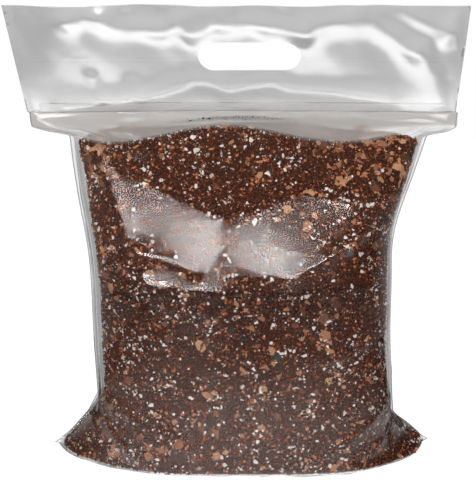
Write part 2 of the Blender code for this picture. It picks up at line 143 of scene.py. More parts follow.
# Creases of the header: points (x, rise) along each, how far it stands out, and its upper and lower width
HEADER_STEPS = 230
HEADER_SHARPNESS = 2.0
HEADER_FOLDS = [
    ([(-0.165, 0.006), (-0.120, 0.010), (-0.075, 0.018), (-0.042, 0.031), (-0.022, 0.030)],
     0.0026, 0.012, 0.013),
    ([(-0.012, 0.020), (0.010, 0.027), (0.030, 0.029), (0.048, 0.023), (0.085, 0.020), (0.137, 0.014)],
     0.0022, 0.012, 0.012),
    ([(-0.136, 0.036), (-0.130, 0.016)], 0.0013, 0.006, 0.007),
    ([(-0.100, 0.030), (-0.093, 0.014)], 0.0013, 0.006, 0.007),
    ([(-0.150, 0.093), (-0.132, 0.098), (-0.117, 0.090), (-0.095, 0.085), (-0.068, 0.083)],
     0.0024, 0.010, 0.011),
    ([(-0.118, 0.098), (-0.098, 0.106)], 0.0014, 0.007, 0.008),
    ([(-0.052, 0.090), (-0.034, 0.100), (-0.004, 0.106)], 0.0024, 0.010, 0.012),
    ([(-0.042, 0.079), (-0.022, 0.088), (0.010, 0.090), (0.040, 0.086), (0.058, 0.078)],
     0.0020, 0.009, 0.010),
    ([(0.062, 0.088), (0.094, 0.093), (0.120, 0.088), (0.140, 0.078), (0.160, 0.064)],
     0.0026, 0.011, 0.013),
    ([(0.110, 0.104), (0.145, 0.101), (0.178, 0.088), (0.200, 0.080)], 0.0020, 0.009, 0.011),
    ([(0.160, 0.064), (0.178, 0.038), (0.188, 0.010)], 0.0016, 0.009, 0.011),
    ([(0.185, 0.075), (0.190, 0.095)], 0.0014, 0.007, 0.008),
]

# The compost
COMPOST_INSET = 0.0030
LEFT_INSET = 0.0050
RIGHT_INSET = 0.0010
EAR_TOP = 0.045
EAR_FROM = 0.165
DOME_FOOT = 0.285
DOME_HEADROOM = 0.011
DOME_BLUNTNESS = 3.0
DOME_DROP = 0.021
CROWN_RIPPLE = 0.004
CROWN_RIPPLE_SPAN = 0.023
CORE_STEPS = 150
CORE_ROWS = 130
CORE_LUMP = 0.0010
CORE_OFF_FLOOR = 0.0006
GRAIN_PROUD = 0.0016
CRUMB_COUNT = 9500
PERLITE_COUNT = 18500
BARK_COUNT = 9000
CHARCOAL_COUNT = 90

# Crumbs that cling inside the film under the zip
CLINGING_COUNT = 420
CLINGING_MIDDLE = -0.003
CLINGING_REACH = 0.026
CLINGING_HEIGHT = 0.3455
CLINGING_ARC = 0.0008
CLINGING_BAND = 0.0007
CLINGING_INSIDE = 0.0003

# Where bark lies densest on the front, as (x, height)
BARK_PATCHES = [(0.080, 0.165), (0.014, 0.060), (-0.075, 0.028), (-0.020, 0.240), (0.125, 0.110)]

# Dust on the film above an arc under the zip, and a painted highlight: the header film drawn clearer just
# above the zip
UNDER_ZIP_HAZE = 0.52
HAZE_FOOT = 0.3300
HAZE_SWING = 0.0065
HAZE_CREST = 0.014
HAZE_WAVE = 0.214
HAZE_FADE = 0.005
PAINTED_HIGHLIGHT_RISE = 0.032

# How the film shines and how milky it is
MILK_COLOUR = (0.9, 0.9, 0.9, 1.0)
DUST_COLOUR = (0.42, 0.40, 0.38, 1.0)
GRAZING_GLOSS = 0.48
GRAZING_POWER = 4.0
CRINKLE_DEPTH = 0.0010

# The light of the studio and the camera
WORLD_LEVEL = 0.45
WORLD_HIGH_LEVEL = 0.12
WORLD_HORIZON = 0.45
FLOOR_SHADED = 0.35
FLOOR_REACH = 4
CAMERA_LIFT = math.radians(18)
CAMERA_DISTANCE = 0.775
CAMERA_FOCUS = Vector((-0.0018, -0.040, 0.237))
SENSOR_HEIGHT = 36
FOCAL_HEIGHTS = 821 / 480

rng = np.random.default_rng(7)


def smooth(share):
    """A share from 0 to 1 that starts and ends gently."""
    share = np.clip(share, 0.0, 1.0)
    return share * share * (3 - 2 * share)


def bell(value, centre, width):
    """A weight of 1 at the centre that falls off over the width."""
    return np.exp(-(((value - centre) / width) ** 2))


# The bag's shape

def body_keys():
    """The sections from the floor up: height, left and right half-width, half-depth, bluntness and tip."""
    rise = SHOULDER_HEIGHT - WAIST_HEIGHT
    left_step = 0.5 * (FLAT_HALF + SHOULDER_HALF)
    return np.array([
        (0.0, FLAT_HALF - 0.020, FLAT_HALF - 0.028, TOE_REACH, 3.4, 0.70),
        (EAR_HEIGHT, FLAT_HALF - 0.003, FLAT_HALF - 0.012, 0.96 * HALF_DEPTH, 3.4, 0.70),
        (0.15 * HEEL_HEIGHT, FLAT_HALF - 0.010, FLAT_HALF - 0.006, 0.98 * HALF_DEPTH, 3.2, 0.62),
        (0.30 * HEEL_HEIGHT, FLAT_HALF - 0.021, FLAT_HALF - 0.030, 0.99 * HALF_DEPTH, 3.0, 0.50),
        (0.62 * HEEL_HEIGHT, HEEL_HALF + 0.009, HEEL_HALF + 0.004, HALF_DEPTH, 3.0, 0.42),
        (HEEL_HEIGHT, HEEL_HALF - 0.002, HEEL_HALF + 0.002, 0.99 * HALF_DEPTH, 3.0, 0.34),
        (0.5 * (WAIST_HEIGHT + HEEL_HEIGHT), WAIST_HALF + 0.003, WAIST_HALF, HALF_DEPTH, 3.0, 0.34),
        (WAIST_HEIGHT, WAIST_HALF + 0.002, WAIST_HALF - 0.002, 0.99 * HALF_DEPTH, 3.0, 0.33),
        (WAIST_HEIGHT + 0.24 * rise, WAIST_HALF + 0.004, WAIST_HALF - 0.004, 0.94 * HALF_DEPTH, 3.1, 0.33),
        (WAIST_HEIGHT + 0.48 * rise, WAIST_HALF + 0.009, WAIST_HALF + 0.003, 0.80 * HALF_DEPTH, 3.0, 0.34),
        (WAIST_HEIGHT + 0.68 * rise, SHOULDER_HALF - 0.006, SHOULDER_HALF - 0.006, 0.64 * HALF_DEPTH,
         2.9, 0.37),
        (WAIST_HEIGHT + 0.86 * rise, SHOULDER_HALF - 0.004, SHOULDER_HALF + 0.001, 0.46 * HALF_DEPTH,
         2.6, 0.42),
        (SHOULDER_HEIGHT, SHOULDER_HALF - 0.003, SHOULDER_HALF + 0.006, 0.32 * HALF_DEPTH, 2.2, 0.49),
        (ZIP_HEIGHT - 0.86 * SHOULDER_DROP, left_step, FLAT_HALF - 0.008, 0.29 * HALF_DEPTH, 1.8, 0.55),
        (ZIP_HEIGHT - 0.65 * SHOULDER_DROP, FLAT_HALF - 0.001, FLAT_HALF, 0.22 * HALF_DEPTH, 1.6, 0.62),
        (ZIP_HEIGHT - 0.35 * SHOULDER_DROP, FLAT_HALF, FLAT_HALF, 0.12 * HALF_DEPTH, 1.7, 0.59),
        (ZIP_HEIGHT, FLAT_HALF, FLAT_HALF, ZIP_HALF_GAP, 2.0, 0.50),
    ])


def eased_keys():
    """The sections at fine steps, averaged over their neighbours away from the ears."""
    keys = body_keys()
    heights = np.linspace(0.0, ZIP_HEIGHT, KEY_STEPS)
    sharp = np.stack([np.interp(heights, keys[:, 0], column) for column in keys.T[1:]], axis=1)
    offsets = np.linspace(-EASING, EASING, EASING_SAMPLES)
    near = [np.clip(heights + offset, 0.0, ZIP_HEIGHT) for offset in offsets]
    eased = np.mean([[np.interp(place, heights, column) for column in sharp.T] for place in near], axis=0).T
    share = smooth((heights - EASED_FROM) / EASING) * smooth((EASED_TO - heights) / EASING)
    return np.column_stack([heights, sharp + share[:, None] * (eased - sharp)])


KEYS = eased_keys()


def section(height):
    """Left and right half-width, half-depth, bluntness and tip at each height."""
    return [np.interp(height, KEYS[:, 0], KEYS[:, column]) for column in range(1, 6)]


def middle_line(x, height):
    """Where the middle between the panels lies: bowed back below the zip, and forwards at the bottom ears."""
    rise = smooth((height - WAIST_HEIGHT) / (ZIP_HEIGHT - WAIST_HEIGHT))
    bow = ZIP_BOW * (1 - (x / FLAT_HALF) ** 2) * rise
    swing = EAR_SWING * smooth((np.abs(x) - 0.7 * FLAT_HALF) / (0.3 * FLAT_HALF))
    return bow - swing * smooth((HEEL_HEIGHT - height) / HEEL_HEIGHT)


def belly(x, height, inset=0.0, side_inset=0.0):
    """How far the filled section reaches from its middle line, drawn in by inset and by side_inset."""
    left, right, depth, bluntness, tip = section(height)
    core = np.where(x < 0, left, right) - EDGE_STRIP / 2 - side_inset
    share = np.clip(np.abs(x) / core, 0.0, 1.0)
    power = bluntness + np.where(x > 0, RIGHT_FULLER, 0.0)
    return np.maximum(depth - inset, 0.0) * (1 - share**power) ** tip


def half_thickness(x, height):
    """How far the film stands from the middle line, with a thin fin of two layers at each side seam."""
    left, right, depth = section(height)[:3]
    half = np.where(x < 0, left, right)
    fin = FIN_HALF * smooth((half - np.abs(x)) / EDGE_STRIP)
    return np.maximum(belly(x, height), np.minimum(fin, depth))


def crown(x):
    """How high the compost reaches at x."""
    side = np.abs(x) / SHOULDER_HALF
    ripple = CROWN_RIPPLE * np.sin(x / CROWN_RIPPLE_SPAN + 1.0)
    return ZIP_HEIGHT - DOME_HEADROOM - DOME_DROP * side**2.5 + ripple


def fill_thickness(x, height):
    """How far the compost reaches from the middle line, with a dome above its shoulders."""
    rise = np.maximum(height - DOME_FOOT, 0) / (crown(x) - DOME_FOOT)
    rounding = np.sqrt(np.clip(1 - rise**DOME_BLUNTNESS, 0, 1))
    waist = smooth((height - EAR_TOP) / EAR_TOP) * smooth((SHOULDER_HEIGHT - height) / EAR_TOP)
    side_inset = COMPOST_INSET + np.where(x < 0, LEFT_INSET, RIGHT_INSET) * waist
    return belly(x, height, COMPOST_INSET, side_inset) * rounding


# The film, as rows of points from its top edge down to the bottom seal

def even_columns(x, out, steps):
    """Points spaced evenly along the film of one panel, from the left seam to the right."""
    run = np.concatenate([[0], np.cumsum(np.hypot(np.diff(x), np.diff(out)))])
    wanted = np.linspace(0, run[-1], steps + 1)
    return np.interp(wanted, run, x), np.interp(wanted, run, out)


def panels(x, out, height):
    """The front's and the back's points at one height, at a distance from the middle line."""
    middle = middle_line(x, height)
    level = np.full_like(x, height)
    return [np.stack([x, middle + side * out, level], axis=1) for side in (-1, 1)]


def body_row(height, steps):
    """One ring of the film below the zip: the front panel left to right, then the back right to left."""
    left, right = section(height)[:2]
    turn = np.linspace(0, math.pi, 700)
    fine = (right - left) / 2 - (right + left) / 2 * np.cos(turn)
    x, out = even_columns(fine, half_thickness(fine, height), steps)
    out[0] = out[-1] = 0.0
    front, back = panels(x, out, height)
    return np.concatenate([front, back[-2:0:-1]])


def body_heights(step):
    """Heights whose rings lie one step apart along the front's middle, and the number of rows in the sole."""
    fine = np.linspace(ZIP_HEIGHT, 0, 1500)
    y = middle_line(0.0, fine) - half_thickness(0.0, fine)
    run = np.concatenate([[0], np.cumsum(np.hypot(np.diff(fine), np.diff(y)))])
    steps = round(run[-1] / step)
    return np.interp(np.linspace(0, run[-1], steps + 1), run, fine), round(TOE_REACH / step)


def crease_stand(x, height, folds, sharpness):
    """How far the given folds stand out at each point, in metres."""
    stand_out = np.zeros(np.broadcast(x, height).shape)
    for line, stand, above, below in folds:
        ridge = np.zeros_like(stand_out)
        for (x0, z0), (x1, z1) in zip(line, line[1:]):
            run = np.array([x1 - x0, z1 - z0])
            along = np.clip(((x - x0) * run[0] + (height - z0) * run[1]) / (run @ run), 0, 1)
            across, up = x - x0 - along * run[0], height - z0 - along * run[1]
            away = np.maximum(np.hypot(across, up), 1e-9)
            upper = smooth(0.5 + 0.5 * (up * run[0] - across * run[1]) / (away * np.linalg.norm(run)))
            ridge = np.maximum(ridge, np.exp(-((away / (below + (above - below) * upper)) ** sharpness)))
        stand_out += stand * ridge
    return stand_out


def header_ripple(x, rise, back):
    """The loose ripple and the creases of the header film, in metres towards the front."""
    grow = smooth(rise / HEADER_LENGTH)
    phase = 0.7 if back else 0.0
    wide = 0.55 * np.sin(x / 0.031 + 0.4) + 0.45 * np.sin(x / 0.0167 + 2.0 + rise / 0.05)
    crinkle = 0.16 * np.sin(x / 0.0062 + rise / 0.021 + phase * 3) * np.sin(rise / 0.013 + x / 0.05 + phase)
    away = smooth((FLAT_HALF - np.abs(x)) / EDGE_STRIP)
    creases = crease_stand(x, rise, HEADER_FOLDS, HEADER_SHARPNESS)
    return HEADER_RIPPLE * grow * (wide + crinkle) + creases * away


def header_points(x, rise, side):
    """The header's front (side 1) or back (side -1) layer at the given flat places."""
    inside = smooth((FLAT_HALF - np.abs(x)) / EDGE_STRIP)
    gap = (ZIP_HALF_GAP + (HEADER_GAP - ZIP_HALF_GAP) * smooth((rise - 0.005) / 0.03)) * inside
    bow = ZIP_BOW * (1 - (x / FLAT_HALF) ** 2) * (1 - 0.5 * rise / HEADER_LENGTH)
    ahead = header_ripple(x, rise, side < 0) + side * gap
    y = bow - rise * math.sin(HEADER_LEAN) - ahead * math.cos(HEADER_LEAN)
    z = ZIP_HEIGHT + rise * math.cos(HEADER_LEAN) - ahead * math.sin(HEADER_LEAN)
    across = x - HEADER_ASIDE - HEADER_DRIFT * rise / HEADER_LENGTH
    return np.stack([across, y, z], axis=-1)


def slot_distance(x, rise):
    """How far a flat place lies outside the hand slot, whose ends are round."""
    aside = np.maximum(np.abs(x - SLOT_OFFSET) - SLOT_STRAIGHT, 0)
    return np.hypot(aside, rise - SLOT_ABOVE_ZIP) - SLOT_HEIGHT / 2


def header_layer(side):
    """One layer of the header as flat places and quads, with the hand slot left out and its rim trued."""
    step = FLAT_WIDTH / HEADER_STEPS
    rows = round(HEADER_LENGTH / step)
    x, rise = np.meshgrid(np.linspace(-FLAT_HALF, FLAT_HALF, HEADER_STEPS + 1),
                          np.linspace(0, HEADER_LENGTH, rows + 1))
    row, column = np.meshgrid(np.arange(rows), np.arange(HEADER_STEPS), indexing="ij")
    wide = HEADER_STEPS + 1
    first = (row * wide + column).reshape(-1)
    quads = np.stack([first, first + 1, first + wide + 1, first + wide], axis=1)[:, ::side]
    flat = np.stack([x, rise], axis=-1).reshape(-1, 2)
    middle = flat[quads].mean(axis=1)
    holed = slot_distance(*middle.T) < 0
    rim = np.intersect1d(quads[holed], quads[~holed])
    along = np.clip(flat[rim, 0] - SLOT_OFFSET, -SLOT_STRAIGHT, SLOT_STRAIGHT) + SLOT_OFFSET
    spine = np.stack([along, np.full(len(rim), SLOT_ABOVE_ZIP)], axis=1)
    away = flat[rim] - spine
    flat[rim] = spine + away * (SLOT_HEIGHT / 2) / np.linalg.norm(away, axis=1, keepdims=True)
    used = np.unique(quads[~holed])
    renumber = np.zeros(len(flat), dtype=int)
    renumber[used] = np.arange(len(used))
    return header_points(flat[used, 0], flat[used, 1], side), renumber[quads[~holed]]


def make_header(look):
    """The header as its own mesh of two layers, which meet at the side seams."""
    front, front_faces = header_layer(1)
    back, back_faces = header_layer(-1)
    every = np.concatenate([front, back]) + shift
    faces = np.concatenate([front_faces, back_faces + len(front)])
    header = add_piece("film_header", every, faces, look)
    mesh = bmesh.new()
    mesh.from_mesh(header.data)
    bmesh.ops.remove_doubles(mesh, verts=mesh.verts, dist=0.00002)
    mesh.to_mesh(header.data)
    mesh.free()
    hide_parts("film_bag")


def zip_row(steps):
    """The ring of film at the zip, where the header begins."""
    x = np.linspace(-FLAT_HALF, FLAT_HALF, steps + 1)
    front, back = header_points(x, np.zeros_like(x), 1), header_points(x, np.zeros_like(x), -1)
    return np.concatenate([front, back[-2:0:-1]])


def sole_row(foot, share):
    """A ring of the flat underside, drawn in from the foot ring towards the bottom seal."""
    middle = middle_line(foot[:, 0], 0.0)
    return np.stack([foot[:, 0] * (1 - SOLE_TAPER * share), middle + (foot[:, 1] - middle) * (1 - share),
                     np.zeros(len(foot))], axis=1)


def film_rows(steps):
    """The starting shape of the film below the zip, with the number of its rows in the sole."""
    heights, sole_count = body_heights(FLAT_WIDTH / steps)
    rows = [zip_row(steps)] + [body_row(height, steps) for height in heights[1:]]
    foot = rows[-1]
    rows += [sole_row(foot, (i + 1) / sole_count) for i in range(sole_count)]
    return np.stack(rows), sole_count


# The relaxation: each pair of points is pulled to its distance on the flat bag, clear of the compost

def links(start, step):
    """Pairs of neighbouring points, with their rest distance and strength.

    A rest distance lies between that in the starting shape and that on the flat bag, so SLACK sets the folds.
    """
    diagonal = step * math.sqrt(2)
    pairs = [
        (np.s_[:, :-2], np.s_[:, 1:-1], step, 1.0),
        (np.s_[:-1], np.s_[1:], step, 1.0),
        (np.s_[:-1, :-2], np.s_[1:, 1:-1], diagonal, 0.35),
        (np.s_[:-1, 1:-1], np.s_[1:, :-2], diagonal, 0.35),
        (np.s_[:-2], np.s_[2:], 2 * step, 0.6),
        (np.s_[:, :-2], np.s_[:, 2:], 2 * step, 0.6),
    ]
    made = []
    for first, second, flat, strength in pairs:
        drawn = np.linalg.norm(start[second] - start[first], axis=-1, keepdims=True)
        made.append((first, second, drawn + SLACK * (flat - drawn), strength))
    return made


def hold_share(start, step):
    """How firmly each point keeps its starting place: at the side seams, and just below the zip."""
    columns = start.shape[1]
    from_seam = np.abs((np.arange(columns) + columns // 4) % (columns // 2) - columns // 4) * step
    seams = SEAM_HOLD * (1 - smooth(from_seam / SEAM_BAND))[None, :, None]
    below_zip = (np.arange(start.shape[0]) * step)[:, None, None]
    return np.maximum(seams, 1 - smooth(below_zip / ZIP_BAND))


def relax(points, start, sole_count, rounds):
    """Relaxes the film between the zip and the foot, over the compost and clear of the floor."""
    columns = points.shape[1]
    step = 2 * FLAT_WIDTH / columns
    body = np.s_[1:points.shape[0] - 1 - sole_count]
    hold = hold_share(start, step)[body]
    side = np.where(np.arange(columns) <= columns // 2, -1.0, 1.0)
    ring = np.concatenate([np.arange(columns), [0, 1]])
    pairs = links(start[:, ring], step)
    for _ in range(rounds):
        wrapped = points[:, ring]
        change = np.zeros_like(wrapped)
        weight = np.full(wrapped.shape[:2] + (1,), 1e-6)
        for first, second, rest, strength in pairs:
            gap = wrapped[second] - wrapped[first]
            length = np.linalg.norm(gap, axis=-1, keepdims=True)
            move = gap * (strength * (length - rest) / np.maximum(length, 1e-9) / 2)
            change[first] += move
            change[second] -= move
            weight[first] += strength
            weight[second] += strength
        change[:, :2] += change[:, columns:]
        weight[:, :2] += weight[:, columns:]
        points[body] += (RELAX_SPEED * change / weight)[body, :columns]
        points[body] += hold * (start - points)[body]
        keep_out(points[body], side)
    return points


def keep_out(inner, side):
    """Moves the film's points out of the compost, off the other panel and off the floor."""
    x, height = inner[..., 0], np.clip(inner[..., 2], 0.0, ZIP_HEIGHT)
    middle = middle_line(x, height)
    filled = fill_thickness(x, height)
    ridges = np.where(side < 0, crease_stand(x, height, FOLDS, BODY_SHARPNESS), 0.0)
    reach = np.where(filled > 0.0005, filled + FILM_CLEAR + ridges, LAYER_CLEAR)
    reach[:, [0, len(side) // 2]] = 0.0
    out = (inner[..., 1] - middle) * side
    inner[..., 1] = np.where(out < reach, middle + side * reach, inner[..., 1])
    inner[..., 2] = np.maximum(inner[..., 2], FILM_OFF_FLOOR)


def resample(field, rows, columns):
    """A field over the body's grid, carried over to a finer one, with its columns joined in a ring."""
    row = np.linspace(0, field.shape[0] - 1, rows)[:, None]
    column = (np.arange(columns) * field.shape[1] / columns)[None, :]
    r0 = np.minimum(row.astype(int), field.shape[0] - 2)
    c0 = column.astype(int)
    c1 = (c0 + 1) % field.shape[1]
    down, across = (row - r0)[..., None], (column - c0)[..., None]
    upper = field[r0, c0] * (1 - across) + field[r0, c1] * across
    lower = field[r0 + 1, c0] * (1 - across) + field[r0 + 1, c1] * across
    return upper * (1 - down) + lower * down


def drape_film():
    """The film's points below the zip, after relaxing them at each level."""
    moved = None
    for steps, rounds in RELAX_LEVELS:
        start, sole_count = film_rows(steps)
        columns = start.shape[1]
        body = np.s_[:start.shape[0] - sole_count]
        points = start.copy()
        if moved is None:
            jitter = rng.normal(0, JITTER, points[body].shape[:2])
            points[body][..., 1] += jitter * np.where(np.arange(columns) <= columns // 2, -1, 1)
        else:
            points[body] += resample(moved, *points[body].shape[:2])
        points = relax(points, start, sole_count, rounds)
        moved = (points - start)[body]
    front = points[body][:, :columns // 2 + 1]
    front[..., 1] -= crease_stand(front[..., 0], front[..., 2], PUCKERS, PUCKER_SHARPNESS)
    return points


def shift_to_frame():
    """How far the film moves so that it lies where the CAD film does."""
    low, high = (np.array(corner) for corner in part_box("film_bag"))
    points = film_rows(RELAX_LEVELS[-1][0])[0]
    top = np.concatenate([header_layer(1)[0], points.reshape(-1, 3)])
    own = (top.min(axis=0) + top.max(axis=0)) / 2
    centre = (low + high) / 2
    return np.array([centre[0] - own[0], centre[1] - own[1], 0.0])


def grid_faces(rows, columns):
    """Quads that join successive rings of points."""
    row, column = np.meshgrid(np.arange(rows - 1), np.arange(columns), indexing="ij")
    after = (column + 1) % columns
    upper, lower = row * columns, (row + 1) * columns
    quads = [lower + column, lower + after, upper + after, upper + column]
    return np.stack(quads, axis=-1).reshape(-1, 4)


def add_piece(name, points, faces, look):
    """A smooth-shaded mesh piece that rides on the root body."""
    data = bpy.data.meshes.new(name)
    data.from_pydata(points.reshape(-1, 3).tolist(), [], faces.tolist())
    data.validate()
    data.materials.append(look)
    data.shade_smooth()
    piece = bpy.data.objects.new(name, data)
    bpy.context.collection.objects.link(piece)
    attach(piece, "root")
    return piece


# The compost: a lumpy core, and loose grains pressed against the film

def core_ring(height, steps):
    """One ring of the compost's face, over the stretch where it has some depth."""
    fine = np.linspace(-FLAT_HALF, FLAT_HALF, 1200)
    deep = fine[fill_thickness(fine, height) > 0.001]
    fine = np.linspace(deep[0], deep[-1], 700)
    front, back = panels(*even_columns(fine, fill_thickness(fine, height), steps), height)
    return np.concatenate([front, back[::-1]])


def core_points():
    """The compost's face from its crown to the floor, before its lumps."""
    top = ZIP_HEIGHT - DOME_HEADROOM - 0.002
    heights = np.concatenate([top - 0.012 * np.linspace(0, 1, 12)**2,
                              np.linspace(top - 0.015, CORE_OFF_FLOOR, CORE_ROWS)])
    return np.stack([core_ring(height, CORE_STEPS) for height in heights])


def lump(point, size):
    """Noise of the given size at a point."""
    return noise.noise(Vector(point) / size)


def lumpy(points):
    """The core with its lumps, moved along its outward direction."""
    across = np.roll(points, -1, axis=1) - np.roll(points, 1, axis=1)
    down = np.gradient(points, axis=0)
    normal = np.cross(across, -down)
    normal /= np.maximum(np.linalg.norm(normal, axis=-1, keepdims=True), 1e-9)
    height = np.array([0.6 * lump(p, 0.009) + 0.4 * lump(p, 0.0035) for p in points.reshape(-1, 3)])
    low = points[..., 2:] < 0.004
    stand = CORE_LUMP * height.reshape(points.shape[:2])[..., None]
    moved = points + normal * np.where(low, 0.0, stand)
    moved[..., 2] = np.maximum(moved[..., 2], CORE_OFF_FLOOR)
    return moved


def core_faces(rows, columns):
    """The core's side quads, with its crown and its underside closed by strips between front and back."""
    faces = grid_faces(rows, columns).tolist()
    half = columns // 2
    for row, up in ((0, True), (rows - 1, False)):
        first = row * columns
        for k in range(half - 1):
            quad = [first + k, first + k + 1, first + columns - 2 - k, first + columns - 1 - k]
            faces.append(quad if up else quad[::-1])
    return np.array(faces)


def scatter(points, faces, count, keep):
    """Random places on the core's side, with their outward directions, kept by a weight from 0 to 1."""
    quads = points.reshape(-1, 3)[faces]
    first, second = quads[:, 1] - quads[:, 0], quads[:, 3] - quads[:, 0]
    normal = np.cross(first, second)
    area = np.linalg.norm(normal, axis=1)
    pick = rng.choice(len(faces), size=count, p=area / area.sum())
    u, v = rng.random((2, count, 1))
    place = quads[pick, 0] + first[pick] * u + second[pick] * v
    outward = normal[pick] / np.maximum(area[pick, None], 1e-12)
    kept = rng.random(count) < keep(place)
    return place[kept], outward[kept]


def solid_grain():
    """An icosahedron's points and faces."""
    mesh = bmesh.new()
    bmesh.ops.create_icosphere(mesh, subdivisions=1, radius=1.0)
    points = np.array([vert.co[:] for vert in mesh.verts])
    faces = np.array([[vert.index for vert in face.verts] for face in mesh.faces])
    mesh.free()
    return points, faces


def chip_grain():
    """A flat chip with six uneven sides, as points and faces."""
    turn = np.arange(6) * math.pi / 3
    rim = np.stack([np.cos(turn), np.sin(turn)], axis=1)
    points = np.concatenate([np.c_[rim * 0.92, np.full(6, 1.0)], np.c_[rim, np.full(6, -1.0)]])
    faces = [(0, i, i + 1) for i in range(1, 5)] + [(6, 6 + i + 1, 6 + i) for i in range(1, 5)]
    for i in range(6):
        after = (i + 1) % 6
        faces += [(i, 6 + i, 6 + after), (i, 6 + after, after)]
    return points, np.array(faces)


def turned_frames(outward, lean):
    """A random frame for each grain, with its third axis near its outward direction."""
    count = len(outward)
    axis = outward + lean * rng.normal(size=(count, 3))
    axis /= np.linalg.norm(axis, axis=1, keepdims=True)
    other = np.cross(axis, rng.normal(size=(count, 3)))
    other /= np.linalg.norm(other, axis=1, keepdims=True)
    return np.stack([other, np.cross(axis, other), axis], axis=1)


def grains(name, grain, place, outward, sizes, rough, lean, sunk, look):
    """One mesh of loose grains, each with its own tone and its own cell of the UV map."""
    points, faces = grain
    count = len(place)
    uneven = 1 + rough * rng.uniform(-1, 1, (count, len(points), 1))
    local = points[None] * uneven * sizes[:, None, :]
    turned = np.einsum("nij,njk->nik", local, turned_frames(outward, lean))
    depth = np.abs(turned @ outward[:, :, None]).max(axis=1)
    centre = place + outward * (GRAIN_PROUD - depth - sunk * rng.random((count, 1)))
    every = (turned + centre[:, None]).reshape(-1, 3)
    every[:, 2] = np.maximum(every[:, 2], CORE_OFF_FLOOR)
    joined = (faces[None] + (np.arange(count) * len(points))[:, None, None]).reshape(-1, 3)
    piece = add_piece(name, every + shift, joined, look)
    piece.data.shade_flat()
    tone = piece.data.attributes.new("tone", "FLOAT", "POINT")
    tone.data.foreach_set("value", np.repeat(rng.random(count), len(points)).astype(np.float32))
    cell_map(piece.data, count, len(faces))
    return piece


def cell_map(data, count, faces_each):
    """A UV map that gives each grain a square cell of its own."""
    side = math.ceil(math.sqrt(count))
    corner = np.array([(0.1, 0.1), (0.9, 0.1), (0.5, 0.9)])
    cell = np.stack([np.arange(count) % side, np.arange(count) // side], axis=1)
    places = (cell[:, None, None, :] + corner[None, None]) / side
    places = np.broadcast_to(places, (count, faces_each, 3, 2)).reshape(-1)
    layer = data.uv_layers.new(name="OFBake")
    layer.data.foreach_set("uv", places.astype(np.float32))


# Materials

def new_look(name):
    """A new node material, with its nodes, links and shader."""
    look = bpy.data.materials.new(name)
    look.use_nodes = True
    tree = look.node_tree
    return look, tree.nodes, tree.links, tree.nodes["Principled BSDF"]


def ramp(nodes, stops):
    """A colour ramp node with the given (place, colour) stops."""
    made = nodes.new("ShaderNodeValToRGB")
    elements = made.color_ramp.elements
    while len(elements) < len(stops):
        elements.new(0.5)
    for element, (place, colour) in zip(elements, stops):
        element.position = place
        element.color = (*colour, 1.0)
    return made


def noise_node(nodes, links, scale, detail=3.0, roughness=0.6):
    """A noise texture over the piece's own coordinates, which are metres."""
    made = nodes.new("ShaderNodeTexNoise")
    made.inputs["Scale"].default_value = scale
    made.inputs["Detail"].default_value = detail
    made.inputs["Roughness"].default_value = roughness
    where = nodes.new("ShaderNodeTexCoord")
    links.new(where.outputs["Object"], made.inputs["Vector"])
    return made


def add_bump(nodes, links, shaders, height, strength, distance):
    """Bumps the given nodes' normals by a height socket."""
    bump = nodes.new("ShaderNodeBump")
    bump.inputs["Strength"].default_value = strength
    bump.inputs["Distance"].default_value = distance
    links.new(height, bump.inputs["Height"])
    for shader in shaders:
        links.new(bump.outputs["Normal"], shader.inputs["Normal"])


def feed(links, socket, source):
    """Links a socket to another one, or sets it to a plain value."""
    if isinstance(source, bpy.types.NodeSocket):
        links.new(source, socket)
    else:
        socket.default_value = source


def worked_out(nodes, links, operation, *sources):
    """The result of a math node, from sockets or plain values."""
    made = nodes.new("ShaderNodeMath")
    made.operation = operation
    for socket, source in zip(made.inputs, sources):
        feed(links, socket, source)
    return made.outputs[0]


def ranged(nodes, links, source, from_ends, to_ends, steps="SMOOTHSTEP"):
    """A value carried from one range to another."""
    made = nodes.new("ShaderNodeMapRange")
    made.interpolation_type = steps
    for name, end in zip(("From Min", "From Max", "To Min", "To Max"), (*from_ends, *to_ends)):
        feed(links, made.inputs[name], end)
    links.new(source, made.inputs["Value"])
    return made.outputs["Result"]


def place_parts(nodes, links, kind):
    """The X, Y and Z of a texture coordinate."""
    where = nodes.new("ShaderNodeTexCoord")
    parts = nodes.new("ShaderNodeSeparateXYZ")
    links.new(where.outputs[kind], parts.inputs[0])
    return parts.outputs


def blend(nodes, links, share, first, second):
    """A mix of two shaders."""
    made = nodes.new("ShaderNodeMixShader")
    for socket, source in zip(made.inputs, (share, first, second)):
        feed(links, socket, source)
    return made.outputs[0]


def facing_node(nodes):
    """A node whose Facing output is 0 for a face seen square on, and 1 for one seen along its plane."""
    made = nodes.new("ShaderNodeLayerWeight")
    made.inputs["Blend"].default_value = 0.5
    return made


def compost_look():
    """Dark, damp, fine coir and peat, with redder crumbs; its near-black low end, in the bump's hollows, is
    painted shade between the grains.
    """
    look, nodes, links, shader = new_look("compost_core")
    fine = noise_node(nodes, links, 620.0, 4.0, 0.7)
    # The two darkest stops are painted shade in the hollows between the grains, darker than the peat's own
    # brown.
    colours = ramp(nodes, [(0.38, (0.001, 0.0005, 0.0003)), (0.50, (0.018, 0.0040, 0.0010)),
                           (0.62, (0.175, 0.038, 0.008)), (0.74, (0.400, 0.105, 0.028))])
    links.new(fine.outputs["Fac"], colours.inputs["Fac"])
    links.new(colours.outputs["Color"], shader.inputs["Base Color"])
    shader.inputs["Roughness"].default_value = 0.9
    shader.inputs["Specular IOR Level"].default_value = 0.08
    add_bump(nodes, links, [shader], fine.outputs["Fac"], 0.7, 0.0012)
    return look


